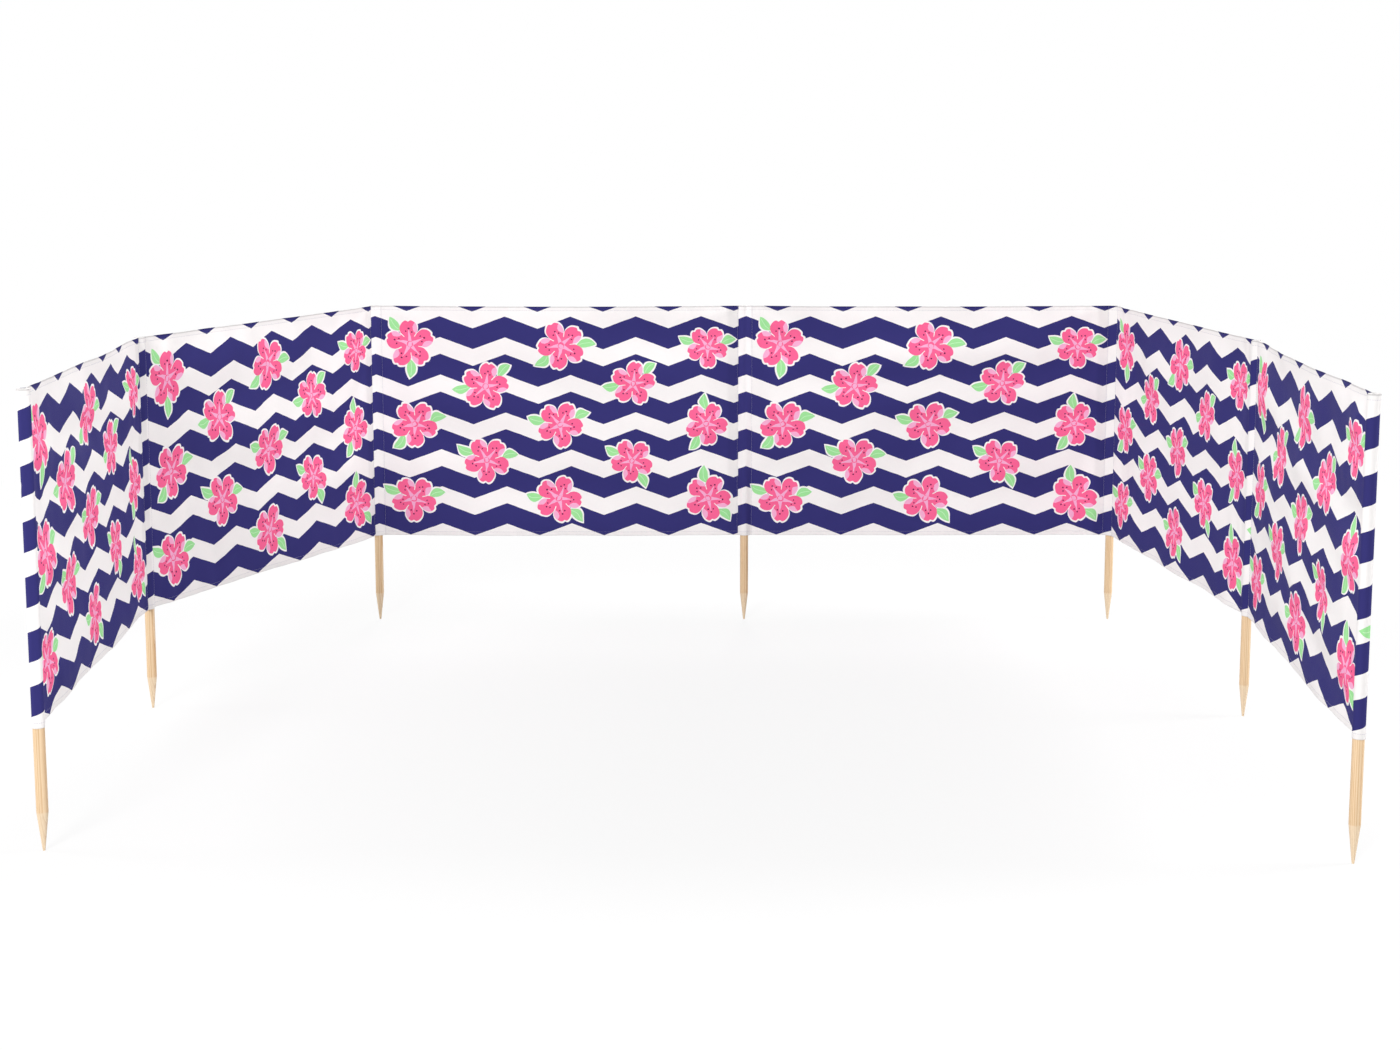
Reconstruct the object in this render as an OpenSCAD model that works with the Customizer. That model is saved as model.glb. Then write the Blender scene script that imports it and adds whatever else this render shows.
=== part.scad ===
// Beach windbreak: a printed cloth screen in six bays, carried by seven pointed wooden poles.
// Millimetres, +Z up. The origin is the blunt tip of the middle pole, pole 4.
// Pole 1 is the left end and pole 7 the right end. The two middle bays run along X,
// and the wings come forward towards -Y, so the sheltered side faces -Y.

/* [Bays] */
// Distance from pole to pole along a bay
bay_length = 1275; // [900:5:1600]
// Turn at pole 2, between the bays of the left wing, in degrees
pole_2_turn = 26; // [0:1:60]
// Turn at pole 3, the left corner, in degrees
pole_3_turn = 67; // [0:1:100]
// Turn at pole 4, between the middle bays, in degrees
pole_4_turn = 0; // [0:1:40]
// Turn at pole 5, the right corner, in degrees
pole_5_turn = 83; // [0:1:100]
// Turn at pole 6, between the bays of the right wing, in degrees
pole_6_turn = 10; // [0:1:60]

/* [Cloth] */
// Height of the cloth from its bottom hem to its top hem
cloth_height = 800; // [600:10:1200]
// Thickness of one layer of cloth
cloth_thickness = 1.2; // [0.8:0.1:2]
// Depth of the hem turned to the back along the top and bottom edges
hem_depth = 16; // [8:1:30]

/* [Sleeves] */
// Clearance between a pole and the tunnel of its sleeve
tunnel_clearance = 0.3; // [0.2:0.05:0.8]
// Loose cloth between the round of the tunnel and its stitched seam
tunnel_slack = 6.5; // [4:0.5:20]
// Width of the flat seam where two layers are stitched together
seam_width = 6; // [4:0.5:12]

/* [Poles] */
// Diameter of a pole
pole_diameter = 28; // [20:1:36]
// Length of pole below the cloth, tip included
pole_below_cloth = 300; // [200:10:500]
// Length of the pointed tip
tip_length = 95; // [60:5:160]
// Diameter of the blunt end of the tip
tip_diameter = 6; // [3:0.5:12]
// Radius of the rounded edge at the top of a pole
pole_top_radius = 4; // [1:0.5:8]

/* [Hidden] */
bay_count = 6;
pole_count = bay_count + 1;
origin_pole = 4;

// Plan direction of each bay from its left pole to its right pole, in degrees from +X
bay_heading = [
    pole_4_turn + pole_3_turn + pole_2_turn,
    pole_4_turn + pole_3_turn,
    pole_4_turn,
    0,
    -pole_5_turn,
    -pole_5_turn - pole_6_turn
];

cloth_bottom = pole_below_cloth;
pole_radius = pole_diameter / 2;
tip_radius = tip_diameter / 2;
// A pole's top bears on the closed top of its sleeve
pole_length = cloth_bottom + cloth_height - cloth_thickness;

tunnel_radius = pole_radius + tunnel_clearance;
layer_radius = tunnel_radius + cloth_thickness / 2;
sleeve_radius = tunnel_radius + cloth_thickness;
seam_start = sleeve_radius + tunnel_slack;
seam_end = seam_start + seam_width;

// Two layers meet at a seam, one on each side of the bay's middle plane
seam_corner = [seam_start, cloth_thickness];
// Direction, from the bay's own, of the point where a layer leaves the round of the tunnel
leave_angle = atan2(seam_corner.y, seam_corner.x) + acos(layer_radius / norm(seam_corner));

round_fn = 64;
cut_margin = 1;
tunnel_depth = cloth_height - cloth_thickness + cut_margin;

function along(angle) = [cos(angle), sin(angle)];

function pole_at(k) =
    k == origin_pole ? [0, 0] :
    k > origin_pole ? pole_at(k - 1) + bay_length * along(bay_heading[k - 2]) :
    pole_at(k + 1) - bay_length * along(bay_heading[k - 1]);

// Directions from a pole towards the bays that it carries: one at an end pole, two elsewhere
function bay_directions(k) = concat(
    k > 1 ? [bay_heading[k - 2] + 180] : [],
    k < pole_count ? [bay_heading[k - 1]] : []
);

module at_pole(k) {
    translate(pole_at(k))
        children();
}

// Half outline of a pole: blunt tip, long taper, round shaft and eased top edge
module pole_profile() {
    ease = [pole_radius - pole_top_radius, pole_length - pole_top_radius];
    polygon([
        [0, 0],
        [tip_radius, 0],
        [pole_radius, tip_length],
        [pole_radius, ease.y],
        [ease.x, pole_length],
        [0, pole_length]
    ]);
    translate(ease)
        circle(r = pole_top_radius, $fn = round_fn);
}

module pole(k) {
    color("burlywood")
        at_pole(k)
            rotate_extrude($fn = round_fn)
                pole_profile();
}

// Outside of a sleeve: round at the pole, drawn in to a flat seam on each bay's side
module sleeve_body(k) {
    leave = layer_radius * along(leave_angle);
    cylinder(h = cloth_height, r = sleeve_radius, $fn = round_fn);
    for (direction = bay_directions(k))
        rotate(direction)
            linear_extrude(cloth_height)
                polygon([
                    leave,
                    seam_corner,
                    [seam_end, seam_corner.y],
                    [seam_end, -seam_corner.y],
                    [seam_corner.x, -seam_corner.y],
                    [leave.x, -leave.y]
                ]);
}

// Room inside a sleeve, one layer of cloth within its outside and open at the bottom
module tunnel(k) {
    leave_radius = layer_radius - cloth_thickness;
    leave = leave_radius * along(leave_angle);
    cylinder(h = tunnel_depth, r = tunnel_radius, $fn = round_fn);
    for (direction = bay_directions(k))
        rotate(direction)
            linear_extrude(tunnel_depth)
                polygon([
                    leave,
                    [leave_radius / cos(leave_angle), 0],
                    [leave.x, -leave.y]
                ]);
}

// A tunnel of cloth, open at the bottom and sewn shut at the top, where it hangs on the pole
module sleeve(k) {
    color("slateblue")
        at_pole(k)
            translate([0, 0, cloth_bottom])
                difference() {
                    sleeve_body(k);
                    translate([0, 0, -cut_margin])
                        tunnel(k);
                }
}

// Upright section through a bay: one layer, with its hems folded to the back as a second layer
module bay_section() {
    front = -cloth_thickness / 2;
    back = cloth_thickness / 2;
    hem_back = back + cloth_thickness;
    polygon([
        [front, 0],
        [hem_back, 0],
        [hem_back, hem_depth],
        [back, hem_depth],
        [back, cloth_height - hem_depth],
        [hem_back, cloth_height - hem_depth],
        [hem_back, cloth_height],
        [front, cloth_height]
    ]);
}

// The cloth of a bay, stretched from the seam of one sleeve to the seam of the next
module bay_cloth(b) {
    color("midnightblue")
        at_pole(b)
            rotate(bay_heading[b - 1])
                translate([seam_end, 0, cloth_bottom])
                    rotate([90, 0, 90])
                        linear_extrude(bay_length - 2 * seam_end)
                            bay_section();
}

for (k = [1:pole_count]) {
    pole(k);
    sleeve(k);
}
for (b = [1:bay_count])
    bay_cloth(b);
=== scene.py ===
import math

import bpy
import numpy as np
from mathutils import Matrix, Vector


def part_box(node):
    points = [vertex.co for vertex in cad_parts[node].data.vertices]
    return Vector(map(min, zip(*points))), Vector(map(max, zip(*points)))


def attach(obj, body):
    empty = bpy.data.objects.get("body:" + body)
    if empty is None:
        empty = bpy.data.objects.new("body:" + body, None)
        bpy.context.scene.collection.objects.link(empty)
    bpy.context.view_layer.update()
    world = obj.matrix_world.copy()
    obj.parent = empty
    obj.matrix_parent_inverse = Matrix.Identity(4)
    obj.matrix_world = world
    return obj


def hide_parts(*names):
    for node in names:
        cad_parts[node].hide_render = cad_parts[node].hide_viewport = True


bl_info = {
    "name": "Beach Windbreak",
    "version": (1, 0, 0),
    "blender": (4, 5, 0),
    "location": "3D View > Sidebar > Windbreak",
    "description": "Dresses a beach windbreak: printed cloth bays in sewn sleeves on turned pine poles",
    "category": "Add Mesh",
}

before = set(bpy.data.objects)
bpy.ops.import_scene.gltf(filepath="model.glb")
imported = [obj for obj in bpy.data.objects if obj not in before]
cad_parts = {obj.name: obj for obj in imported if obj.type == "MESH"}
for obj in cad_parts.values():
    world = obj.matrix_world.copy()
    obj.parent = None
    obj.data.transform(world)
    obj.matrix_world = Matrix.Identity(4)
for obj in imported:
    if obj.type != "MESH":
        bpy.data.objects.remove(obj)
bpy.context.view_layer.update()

BAY_COUNT = 6
POLE_COUNT = BAY_COUNT + 1
PRINT_MAP = "Print"
MAP_SPAN = 1.4  # metres of cloth across the print map
MAP_MARGIN = 0.06  # metres of cloth before the map's zero
GRAIN = "grain"  # attribute with a point's place in the wood
LIE = "lie"  # attribute with the direction that a stitch stands up in
PRINTED_FACE = "Printed cloth face"
PALE_REVERSE = "Printed cloth reverse"
REVERSE_FADE = 0.13  # share of the print that is lost on the reverse


def srgb(red, green, blue):
    """Linear colour of an 8-bit screen colour."""
    return tuple(
        v / 12.92 if v <= 0.04045 else ((v + 0.055) / 1.055) ** 2.4
        for v in (red / 255, green / 255, blue / 255)
    )


def length_prop(name, description, default, low=0.0001, high=5.0):
    return bpy.props.FloatProperty(
        name=name, description=description, default=default, min=low, max=high,
        unit="LENGTH", precision=4,
    )


def colour_prop(name, description, default):
    return bpy.props.FloatVectorProperty(
        name=name, description=description, default=default, min=0.0, max=1.0, size=3, subtype="COLOR",
    )


class WindbreakSizes(bpy.types.PropertyGroup):
    """Sizes of the cloth, its sewing and the poles"""

    cloth_thickness: length_prop("Cloth Thickness", "Thickness of one layer of cloth", 0.0005)
    layer_step: length_prop("Layer Step", "Distance between two layers that are sewn together", 0.0006)
    hem_depth: length_prop("Hem Depth", "Depth of the hem turned to the back at the top and bottom", 0.016)
    hem_stitch: length_prop("Hem Stitch", "Distance of the stitch line from the folded edge", 0.0135)
    seam_width: length_prop("Seam Width", "Width of the flat seam beside a sleeve", 0.006)
    layer_clearance: length_prop(
        "Layer Clearance", "Distance from a pole to the middle of its sleeve's cloth", 0.0009
    )
    mesh_step: length_prop("Mesh Step", "Distance between the mesh lines of a bay", 0.012)
    billow: length_prop("Billow", "How far the wind bows a bay out at its middle", 0.007)
    fold_depth: length_prop("Fold Depth", "Depth of the soft folds beside the sleeves", 0.0026)
    pull_depth: length_prop(
        "Pull Depth", "Depth of the long folds that the pull from pole to pole draws", 0.0042
    )
    sag: length_prop("Sag", "How far the hems dip between the poles", 0.003)
    stitch_pitch: length_prop("Stitch Pitch", "Distance from stitch to stitch", 0.005)
    stitch_length: length_prop("Stitch Length", "Length of thread that shows in a stitch", 0.0039)
    thread_width: length_prop("Thread Width", "Thickness of the sewing thread", 0.0006)
    tip_length: length_prop("Tip Length", "Length of a pole's taper", 0.095)
    tip_diameter: length_prop("Tip Diameter", "Width of a pole's blunt end", 0.006)
    top_radius: length_prop("Top Radius", "Rounding of a pole's top edge", 0.004)
    zigzag_length: length_prop("Zigzag Length", "Distance from peak to peak of the zigzag", 0.2249)
    zigzag_start: length_prop("Zigzag Start", "Distance from the left pole to a peak of the zigzag", 0.225)
    zigzag_height: length_prop("Zigzag Height", "Height of the zigzag from trough to peak", 0.0417)
    band_pitch: length_prop("Band Pitch", "Distance from band to band of the zigzag", 0.1302)
    band_height: length_prop("Band Height", "Height of a dark band", 0.0721)
    band_start: length_prop("Band Start", "Distance from the top edge to the first band's peaks", 0.034)
    blossom_radius: length_prop("Blossom Radius", "Reach of a blossom's petals", 0.080)
    blossom_across: length_prop("Blossom Columns", "Distance between the columns of blossoms", 0.255)
    blossom_down: length_prop("Blossom Rows", "Distance between the blossoms of a column", 0.267)
    weave_pitch: length_prop("Weave Pitch", "Distance between the threads of the cloth", 0.0009)


class WindbreakColours(bpy.types.PropertyGroup):
    """Colours of the print, the thread and the wood"""

    navy: colour_prop("Navy", "Dark bands of the zigzag", srgb(54, 52, 114))
    white: colour_prop("White", "Bare cloth", srgb(247, 244, 243))
    pink: colour_prop("Pink", "Petals", srgb(249, 104, 152))
    pale_pink: colour_prop("Pale Pink", "Brush strokes on the petals", srgb(247, 176, 212))
    green: colour_prop("Green", "Leaves", srgb(160, 228, 156))
    pale_green: colour_prop("Pale Green", "Ribs of the leaves", srgb(205, 243, 200))
    dots: colour_prop("Dots", "Dots in the blossoms", srgb(96, 24, 66))
    thread: colour_prop("Thread", "Sewing thread", srgb(158, 156, 182))
    pine: colour_prop("Pine", "Pale wood between the growth rings", srgb(231, 204, 168))
    pine_ring: colour_prop("Pine Ring", "Darker wood of the growth rings", srgb(199, 156, 109))
    pine_cut: colour_prop("Pine Cut", "Paler wood where the point was cut", srgb(235, 217, 191))


def sizes():
    return bpy.context.scene.windbreak_sizes


def colours():
    return bpy.context.scene.windbreak_colours


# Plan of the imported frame

def pole_foot(k):
    low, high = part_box(f"pole_{k}")
    return Vector(((low.x + high.x) / 2, (low.y + high.y) / 2, low.z))


FEET = {k: pole_foot(k) for k in range(1, POLE_COUNT + 1)}
FEET_WITH_TWO_BAYS = range(2, POLE_COUNT)
FEET_WRAPPED_FROM_THE_RIGHT = range(2, 5)  # poles whose sleeve's front is cloth of the bay on their right
POLE_LOW, POLE_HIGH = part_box("pole_4")
POLE_RADIUS = (POLE_HIGH.x - POLE_LOW.x) / 2
POLE_LENGTH = POLE_HIGH.z - POLE_LOW.z
# Bay 3 runs along X, so its box also gives where the seam beside a pole ends
CLOTH_LOW, CLOTH_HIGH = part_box("bay_cloth_3")
CLOTH_BOTTOM = CLOTH_LOW.z
CLOTH_HEIGHT = CLOTH_HIGH.z - CLOTH_LOW.z
SEAM_END = CLOTH_LOW.x - FEET[3].x


def bay_heading(b):
    run = FEET[b + 1] - FEET[b]
    return math.atan2(run.y, run.x)


def bay_length(b):
    return (FEET[b + 1] - FEET[b]).length


def bay_turn(b):
    """Turns plan points from a bay's own axes into the frame's."""
    heading = bay_heading(b)
    return np.array([[math.cos(heading), math.sin(heading)], [-math.sin(heading), math.cos(heading)]])


def sleeve_bay(k):
    """The bay whose cloth makes the front of a sleeve."""
    return k if k in FEET_WRAPPED_FROM_THE_RIGHT else k - 1


def front_half_angle(k):
    """Half of the angle between a pole's bays on the sheltered side, or half a turn at an end pole."""
    if k not in FEET_WITH_TWO_BAYS:
        return math.pi
    return (math.pi - (bay_heading(k - 1) - bay_heading(k))) / 2


# Node trees

class Wire:
    """A socket of a node tree that sums, products and comparisons can be taken of."""

    def __init__(self, tree, socket):
        self.tree = tree
        self.socket = socket

    def math(self, operation, *others):
        node = self.tree.nodes.new("ShaderNodeMath")
        node.operation = operation
        for slot, value in zip(node.inputs, (self, *others)):
            plug(self.tree, slot, value)
        return Wire(self.tree, node.outputs[0])

    def __add__(self, other):
        return self.math("ADD", other)

    def __sub__(self, other):
        return self.math("SUBTRACT", other)

    def __mul__(self, other):
        return self.math("MULTIPLY", other)

    def __truediv__(self, other):
        return self.math("DIVIDE", other)

    def __pow__(self, other):
        return self.math("POWER", other)

    def __lt__(self, other):
        return self.math("LESS_THAN", other)

    def __gt__(self, other):
        return self.math("GREATER_THAN", other)

    def __abs__(self):
        return self.math("ABSOLUTE")

    def __neg__(self):
        return self.math("MULTIPLY", -1.0)

    def either(self, other):
        return self.math("MAXIMUM", other)

    def both(self, other):
        return self.math("MULTIPLY", other)


def plug(tree, slot, value):
    if isinstance(value, Wire):
        tree.links.new(value.socket, slot)
    elif isinstance(value, bpy.types.NodeSocket):
        tree.links.new(value, slot)
    elif slot.type == "RGBA" and len(value) == 3:
        slot.default_value = (*value, 1.0)
    else:
        slot.default_value = value


def put(tree, kind, settings=None, **inputs):
    """A new node with its settings and, by socket name, its inputs."""
    node = tree.nodes.new(kind)
    for name, value in (settings or {}).items():
        setattr(node, name, value)
    for name, value in inputs.items():
        plug(tree, node.inputs[name.replace("_", " ")], value)
    return node


def vector(tree, x=0.0, y=0.0, z=0.0):
    return put(tree, "ShaderNodeCombineXYZ", X=x, Y=y, Z=z).outputs[0]


def parts(tree, socket):
    node = put(tree, "ShaderNodeSeparateXYZ", Vector=socket)
    return [Wire(tree, out) for out in node.outputs]


def noise(tree, place, scale, detail=2.0):
    """Noise from about -0.5 to 0.5."""
    node = put(tree, "ShaderNodeTexNoise", Vector=place, Scale=scale, Detail=detail)
    return Wire(tree, node.outputs["Fac"]) - 0.5


def ramp(tree, value, low, high, to, kind="LINEAR"):
    """From 0 to to, as value goes from low to high."""
    node = put(
        tree, "ShaderNodeMapRange", {"interpolation_type": kind},
        Value=value, From_Min=low, From_Max=high, To_Min=0.0, To_Max=to,
    )
    return Wire(tree, node.outputs[0])


def smooth_ramp(tree, value, low, high, to=1.0):
    """A ramp that is eased at both ends."""
    return ramp(tree, value, low, high, to, kind="SMOOTHSTEP")


def blend(tree, share, under, over):
    node = tree.nodes.new("ShaderNodeMix")
    node.data_type = "RGBA"
    for slot, value in zip((node.inputs[0], node.inputs[6], node.inputs[7]), (share, under, over)):
        plug(tree, slot, value)
    return node.outputs[2]


def new_material(name):
    material = bpy.data.materials.new(name)
    material.use_nodes = True
    tree = material.node_tree
    shader = next(n for n in tree.nodes if n.type == "BSDF_PRINCIPLED")
    return material, tree, shader


def scale_colour(tree, shader, colour, tone):
    """Gives the shader a colour made lighter or darker by tone."""
    shade = put(tree, "ShaderNodeVectorMath", {"operation": "SCALE"}, Scale=tone)
    plug(tree, shade.inputs[0], colour)
    plug(tree, shader.inputs["Base Color"], shade.outputs[0])


def raise_surface(tree, shader, height, strength):
    """Gives the shader a relief whose height is in metres."""
    bump = put(tree, "ShaderNodeBump", Height=height, Distance=1.0, Strength=strength)
    plug(tree, shader.inputs["Normal"], bump.outputs[0])


def cloth_place(tree):
    """Metres along the bay from its left pole, and metres down from the top edge."""
    uv = put(tree, "ShaderNodeUVMap", {"uv_map": PRINT_MAP}).outputs[0]
    metres = put(
        tree, "ShaderNodeMapping",
        Vector=uv, Location=(-MAP_MARGIN, -MAP_MARGIN, 0.0), Scale=(MAP_SPAN, MAP_SPAN, 1.0),
    ).outputs[0]
    along, up, _ = parts(tree, metres)
    return along, -up + CLOTH_HEIGHT


def zigzag_mask(along, down):
    """One on the dark bands of the zigzag."""
    s = sizes()
    half = s.zigzag_length / 2
    dip = (along - s.zigzag_start).math("PINGPONG", half) * (s.zigzag_height / half)
    band = (down - s.band_start - dip) / s.band_pitch
    return band.math("FRACT") < s.band_height / s.band_pitch


PETALS = 5
PETAL_TURN = math.tau / PETALS
PETAL_DOTS = ((0.64, 0.0, 0.034), (0.50, 0.105, 0.030), (0.53, -0.12, 0.030))  # out, across, radius
LEAVES = ((0.5, 0.40), (2.5, 0.36))  # turn from the first petal, counted in petals, and half length


def blossom_place(tree, along, down):
    """Distance and angle from the middle of the nearest blossom, and one where it is printed whole."""
    s = sizes()
    reach = s.blossom_radius
    stray_across, stray_down = 0.016, 0.022  # metres that a blossom may stray in all
    smallest, growth_range = 0.9, 0.14  # shares of its full size
    wobble, wobble_scale = 0.13 * reach, 21.0  # of its hand-drawn line
    elsewhere = 7.0  # sets the second wobble apart from the first

    column = along / s.blossom_across
    column_id = column.math("FLOOR")
    drop = column_id.math("FLOORED_MODULO", 2.0) * 0.5
    row = down / s.blossom_down + drop
    row_id = row.math("FLOOR")
    centre_down = (row_id + 0.5 - drop) * s.blossom_down
    whole = (centre_down > reach).both(centre_down < CLOTH_HEIGHT - reach)

    chance = put(
        tree, "ShaderNodeTexWhiteNoise", {"noise_dimensions": "2D"}, Vector=vector(tree, column_id, row_id)
    )
    chance_x, chance_y, growth = parts(tree, chance.outputs["Color"])
    scale = growth * growth_range + smallest
    x = ((column - column_id - 0.5) * s.blossom_across + (chance_x - 0.5) * stray_across) / scale
    y = ((row - row_id - 0.5) * s.blossom_down + (chance_y - 0.5) * stray_down) / scale
    x = x + noise(tree, vector(tree, along, down), wobble_scale, detail=1.0) * wobble
    y = y + noise(tree, vector(tree, down, along, elsewhere), wobble_scale, detail=1.0) * wobble
    radius = (x * x + y * y).math("SQRT")
    angle = y.math("ARCTAN2", x) + Wire(tree, chance.outputs["Value"]) * math.tau
    return radius, angle, whole


def petal_masks(tree, place, radius, angle):
    """Masks of a blossom's petals: halo, petal, brush strokes, gaps between petals and dots.

    Places and widths are shares of the petals' reach, apart from the widths of halo and gap, in metres.
    """
    reach = sizes().blossom_radius
    in_petal = angle - (angle / PETAL_TURN).math("ROUND") * PETAL_TURN
    out = radius * in_petal.math("COSINE") / reach
    across = radius * in_petal.math("SINE") / reach
    brush = noise(tree, place, scale=75.0)

    valley, notch, halo_width = 0.44, 0.07, 0.0065
    lobe = abs((angle * (PETALS / 2)).math("COSINE"))
    dimple = (-(across / notch) ** 2.0).math("EXPONENT") * notch
    edge = (lobe ** 0.5 * (1.0 - valley) + valley - dimple) * reach

    gap_start, gap_width, gap_rough = 0.36, 0.0034, 0.004
    gap = (radius * lobe + brush * gap_rough < gap_width).both(radius > gap_start * reach)

    crescent_middle, crescent_curve, crescent_side, crescent_rough = 0.66, 2.4, 0.15, 0.09
    from_middle = out - crescent_middle
    crescent = across + brush * crescent_rough > from_middle * from_middle * crescent_curve + crescent_side

    streak_start, streak_end, streak_slope = 0.13, 0.62, 0.16
    end_rough, side_rough = 0.12, 0.03
    to_end = -(out + brush * end_rough) + streak_end
    streak = (abs(across) + brush * side_rough < to_end * streak_slope).both(radius > streak_start * reach)

    heart_radius, heart_rough = 0.085, 0.02
    heart = radius + brush * heart_rough < heart_radius * reach
    stroke = crescent.either(streak).either(heart)

    first, second, third = (
        (out - dot_out) * (out - dot_out) + (across - dot_across) * (across - dot_across) < size * size
        for dot_out, dot_across, size in PETAL_DOTS
    )
    dots = first.either(second).either(third)
    return radius < edge + halo_width, radius < edge, stroke, gap, dots


def leaf_masks(radius, angle):
    """Masks of a blossom's two leaves: halo, leaf and rib."""
    reach = sizes().blossom_radius
    middle, curl = 1.02, 0.10  # shares of the petals' reach
    half_width, halo_width, rib_width = 0.0155, 0.006, 0.0008  # metres
    rib_share = 0.72  # of the leaf's length
    leaves = []
    for turn, half_length in LEAVES:
        swing = angle - turn * PETAL_TURN
        along = (radius * swing.math("COSINE") / reach - middle) / half_length
        aside = abs(radius * swing.math("SINE") - (along * along) * (curl * reach))
        edge = ((along * along) * -1.0 + 1.0) * half_width
        rib = (aside < rib_width).both(abs(along) < rib_share)
        leaves.append((aside < edge + halo_width, aside < edge, rib))
    return [first.either(second) for first, second in zip(*leaves)]


def blossom_masks(tree, along, down):
    """Masks of the blossoms, from the lowest to the topmost: halo, leaf, rib, petal, stroke, gap and dot."""
    radius, angle, whole = blossom_place(tree, along, down)
    petal_halo, petal, *inner = petal_masks(tree, vector(tree, along, down), radius, angle)
    leaf_halo, leaf, rib = leaf_masks(radius, angle)
    layers = [petal_halo.either(leaf_halo), leaf, rib.both(leaf), petal]
    layers += [mask.both(petal) for mask in inner]
    return [mask.both(whole) for mask in layers]


def print_group():
    """Node group of the printed cloth: a navy zigzag with pink blossoms over it."""
    c = colours()
    edge_stray = 0.0022  # metres that the ink's edge strays in all
    elsewhere = 3.0  # sets the second noise apart from the first
    tree = bpy.data.node_groups.new("Zigzag and blossom print", "ShaderNodeTree")
    tree.interface.new_socket("Colour", in_out="OUTPUT", socket_type="NodeSocketColor")
    along, down = cloth_place(tree)
    soft_along = along + noise(tree, vector(tree, along, down), scale=31.0, detail=1.0) * edge_stray
    soft_down = down + noise(tree, vector(tree, down, along, elsewhere), scale=29.0, detail=1.0) * edge_stray
    colour = blend(tree, zigzag_mask(soft_along, soft_down), c.white, c.navy)
    layers = (c.white, c.green, c.pale_green, c.pink, c.pale_pink, c.white, c.dots)
    for mask, ink in zip(blossom_masks(tree, along, down), layers):
        colour = blend(tree, mask, colour, ink)
    out = tree.nodes.new("NodeGroupOutput")
    tree.links.new(colour, out.inputs[0])
    return tree


def bell(distance, width):
    """One at no distance, falling to zero over a few widths."""
    return (-(distance / width) ** 2.0).math("EXPONENT")


def cloth_relief(tree, along, down):
    """Height of the weave and of the pucker beside each stitch line, in metres."""
    s = sizes()
    weave_height = 0.00004
    pucker_reach, pucker_pitch, pucker_height, pucker_dent = 0.011, 0.0125, 0.00022, 0.0003
    unevenness, unevenness_scale = 9.0, 40.0

    step = math.tau / s.weave_pitch
    weave = (along * step).math("SINE") * (down * step).math("SINE") * weave_height
    seam = SEAM_END - s.seam_width / 2
    far_seam = bay_length(3) - seam
    from_seam = abs(along - seam).math("MINIMUM", abs(along - far_seam))
    from_hem = abs(down - s.hem_stitch).math("MINIMUM", abs(down - (CLOTH_HEIGHT - s.hem_stitch)))

    def pucker(distance, lengthways):
        fade = bell(distance, pucker_reach)
        uneven = noise(tree, vector(tree, lengthways), unevenness_scale) * unevenness
        ripple = (lengthways * (math.tau / pucker_pitch) + uneven).math("SINE")
        return fade * ripple * pucker_height - fade * pucker_dent

    return weave + pucker(from_seam, down) + pucker(from_hem, along)


def painted_cloth_shade(tree, along, down):
    """Painted shade on the cloth: darker over a sleeve and a hem, and a painted dark line where the folded
    edge rolls away.
    """
    s = sizes()
    run = bay_length(3)
    right_from, right_to, right_shade = 0.066, 0.050, 0.085  # metres from the right pole, share of painted shade
    left_from, left_to, left_shade = 0.034, 0.022, 0.03  # metres from the left pole, share of painted shade
    # painted shade over the doubled hems, and painted dark shade lines along the top and bottom folded edges
    hem_edge, hem_shade = 0.002, 0.03
    top_at, top_width, top_shade = 0.0016, 0.0022, 0.30
    bottom_width, bottom_shade = 0.0016, 0.16

    # painted shade: the cloth darkens over the last few centimetres before each pole, more before the right
    # pole
    sleeve = smooth_ramp(tree, along, run - right_from, run - right_to, right_shade)
    sleeve = sleeve + smooth_ramp(tree, -along, -left_from, -left_to, left_shade)
    from_edge = down.math("MINIMUM", -down + CLOTH_HEIGHT)
    hem = smooth_ramp(tree, -from_edge, -s.hem_depth, hem_edge - s.hem_depth, hem_shade)
    roll = bell(down - top_at, top_width) * top_shade + bell(down - CLOTH_HEIGHT, bottom_width) * bottom_shade
    return -(sleeve + hem + roll) + 1.0


def cloth_material(name, design, fade):
    """Woven polyester. fade is how far the print is lost on this side."""
    c = colours()
    material, tree, shader = new_material(name)
    along, down = cloth_place(tree)
    place = vector(tree, along, down)
    colour = put(tree, "ShaderNodeGroup", {"node_tree": design}).outputs[0]
    if fade:
        fade_range = 0.10
        lost = noise(tree, place, scale=900.0, detail=1.0) * fade_range + fade
        colour = blend(tree, lost, colour, c.white)

    across_thread, along_thread = 1400.0, 60.0  # how fast the yarn's thickness varies
    mean_tone, slub_tone, patch_tone = 0.985, 0.07, 0.03
    mean_roughness, slub_roughness = 0.74, 0.12
    slub = noise(tree, vector(tree, along * along_thread, down * across_thread), scale=1.0)
    slub = slub + noise(tree, vector(tree, along * across_thread, down * along_thread), scale=1.0)
    tone = slub * slub_tone + noise(tree, place, scale=3.0) * patch_tone + mean_tone
    # the base colour is darkened by painted shade over the sleeves and hems and along the folded edges
    scale_colour(tree, shader, colour, tone * painted_cloth_shade(tree, along, down))
    plug(tree, shader.inputs["Roughness"], slub * slub_roughness + mean_roughness)
    shader.inputs["Specular IOR Level"].default_value = 0.04
    shader.inputs["Sheen Weight"].default_value = 0.008
    shader.inputs["Sheen Roughness"].default_value = 0.5
    raise_surface(tree, shader, cloth_relief(tree, along, down), strength=0.9)
    return material


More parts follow.
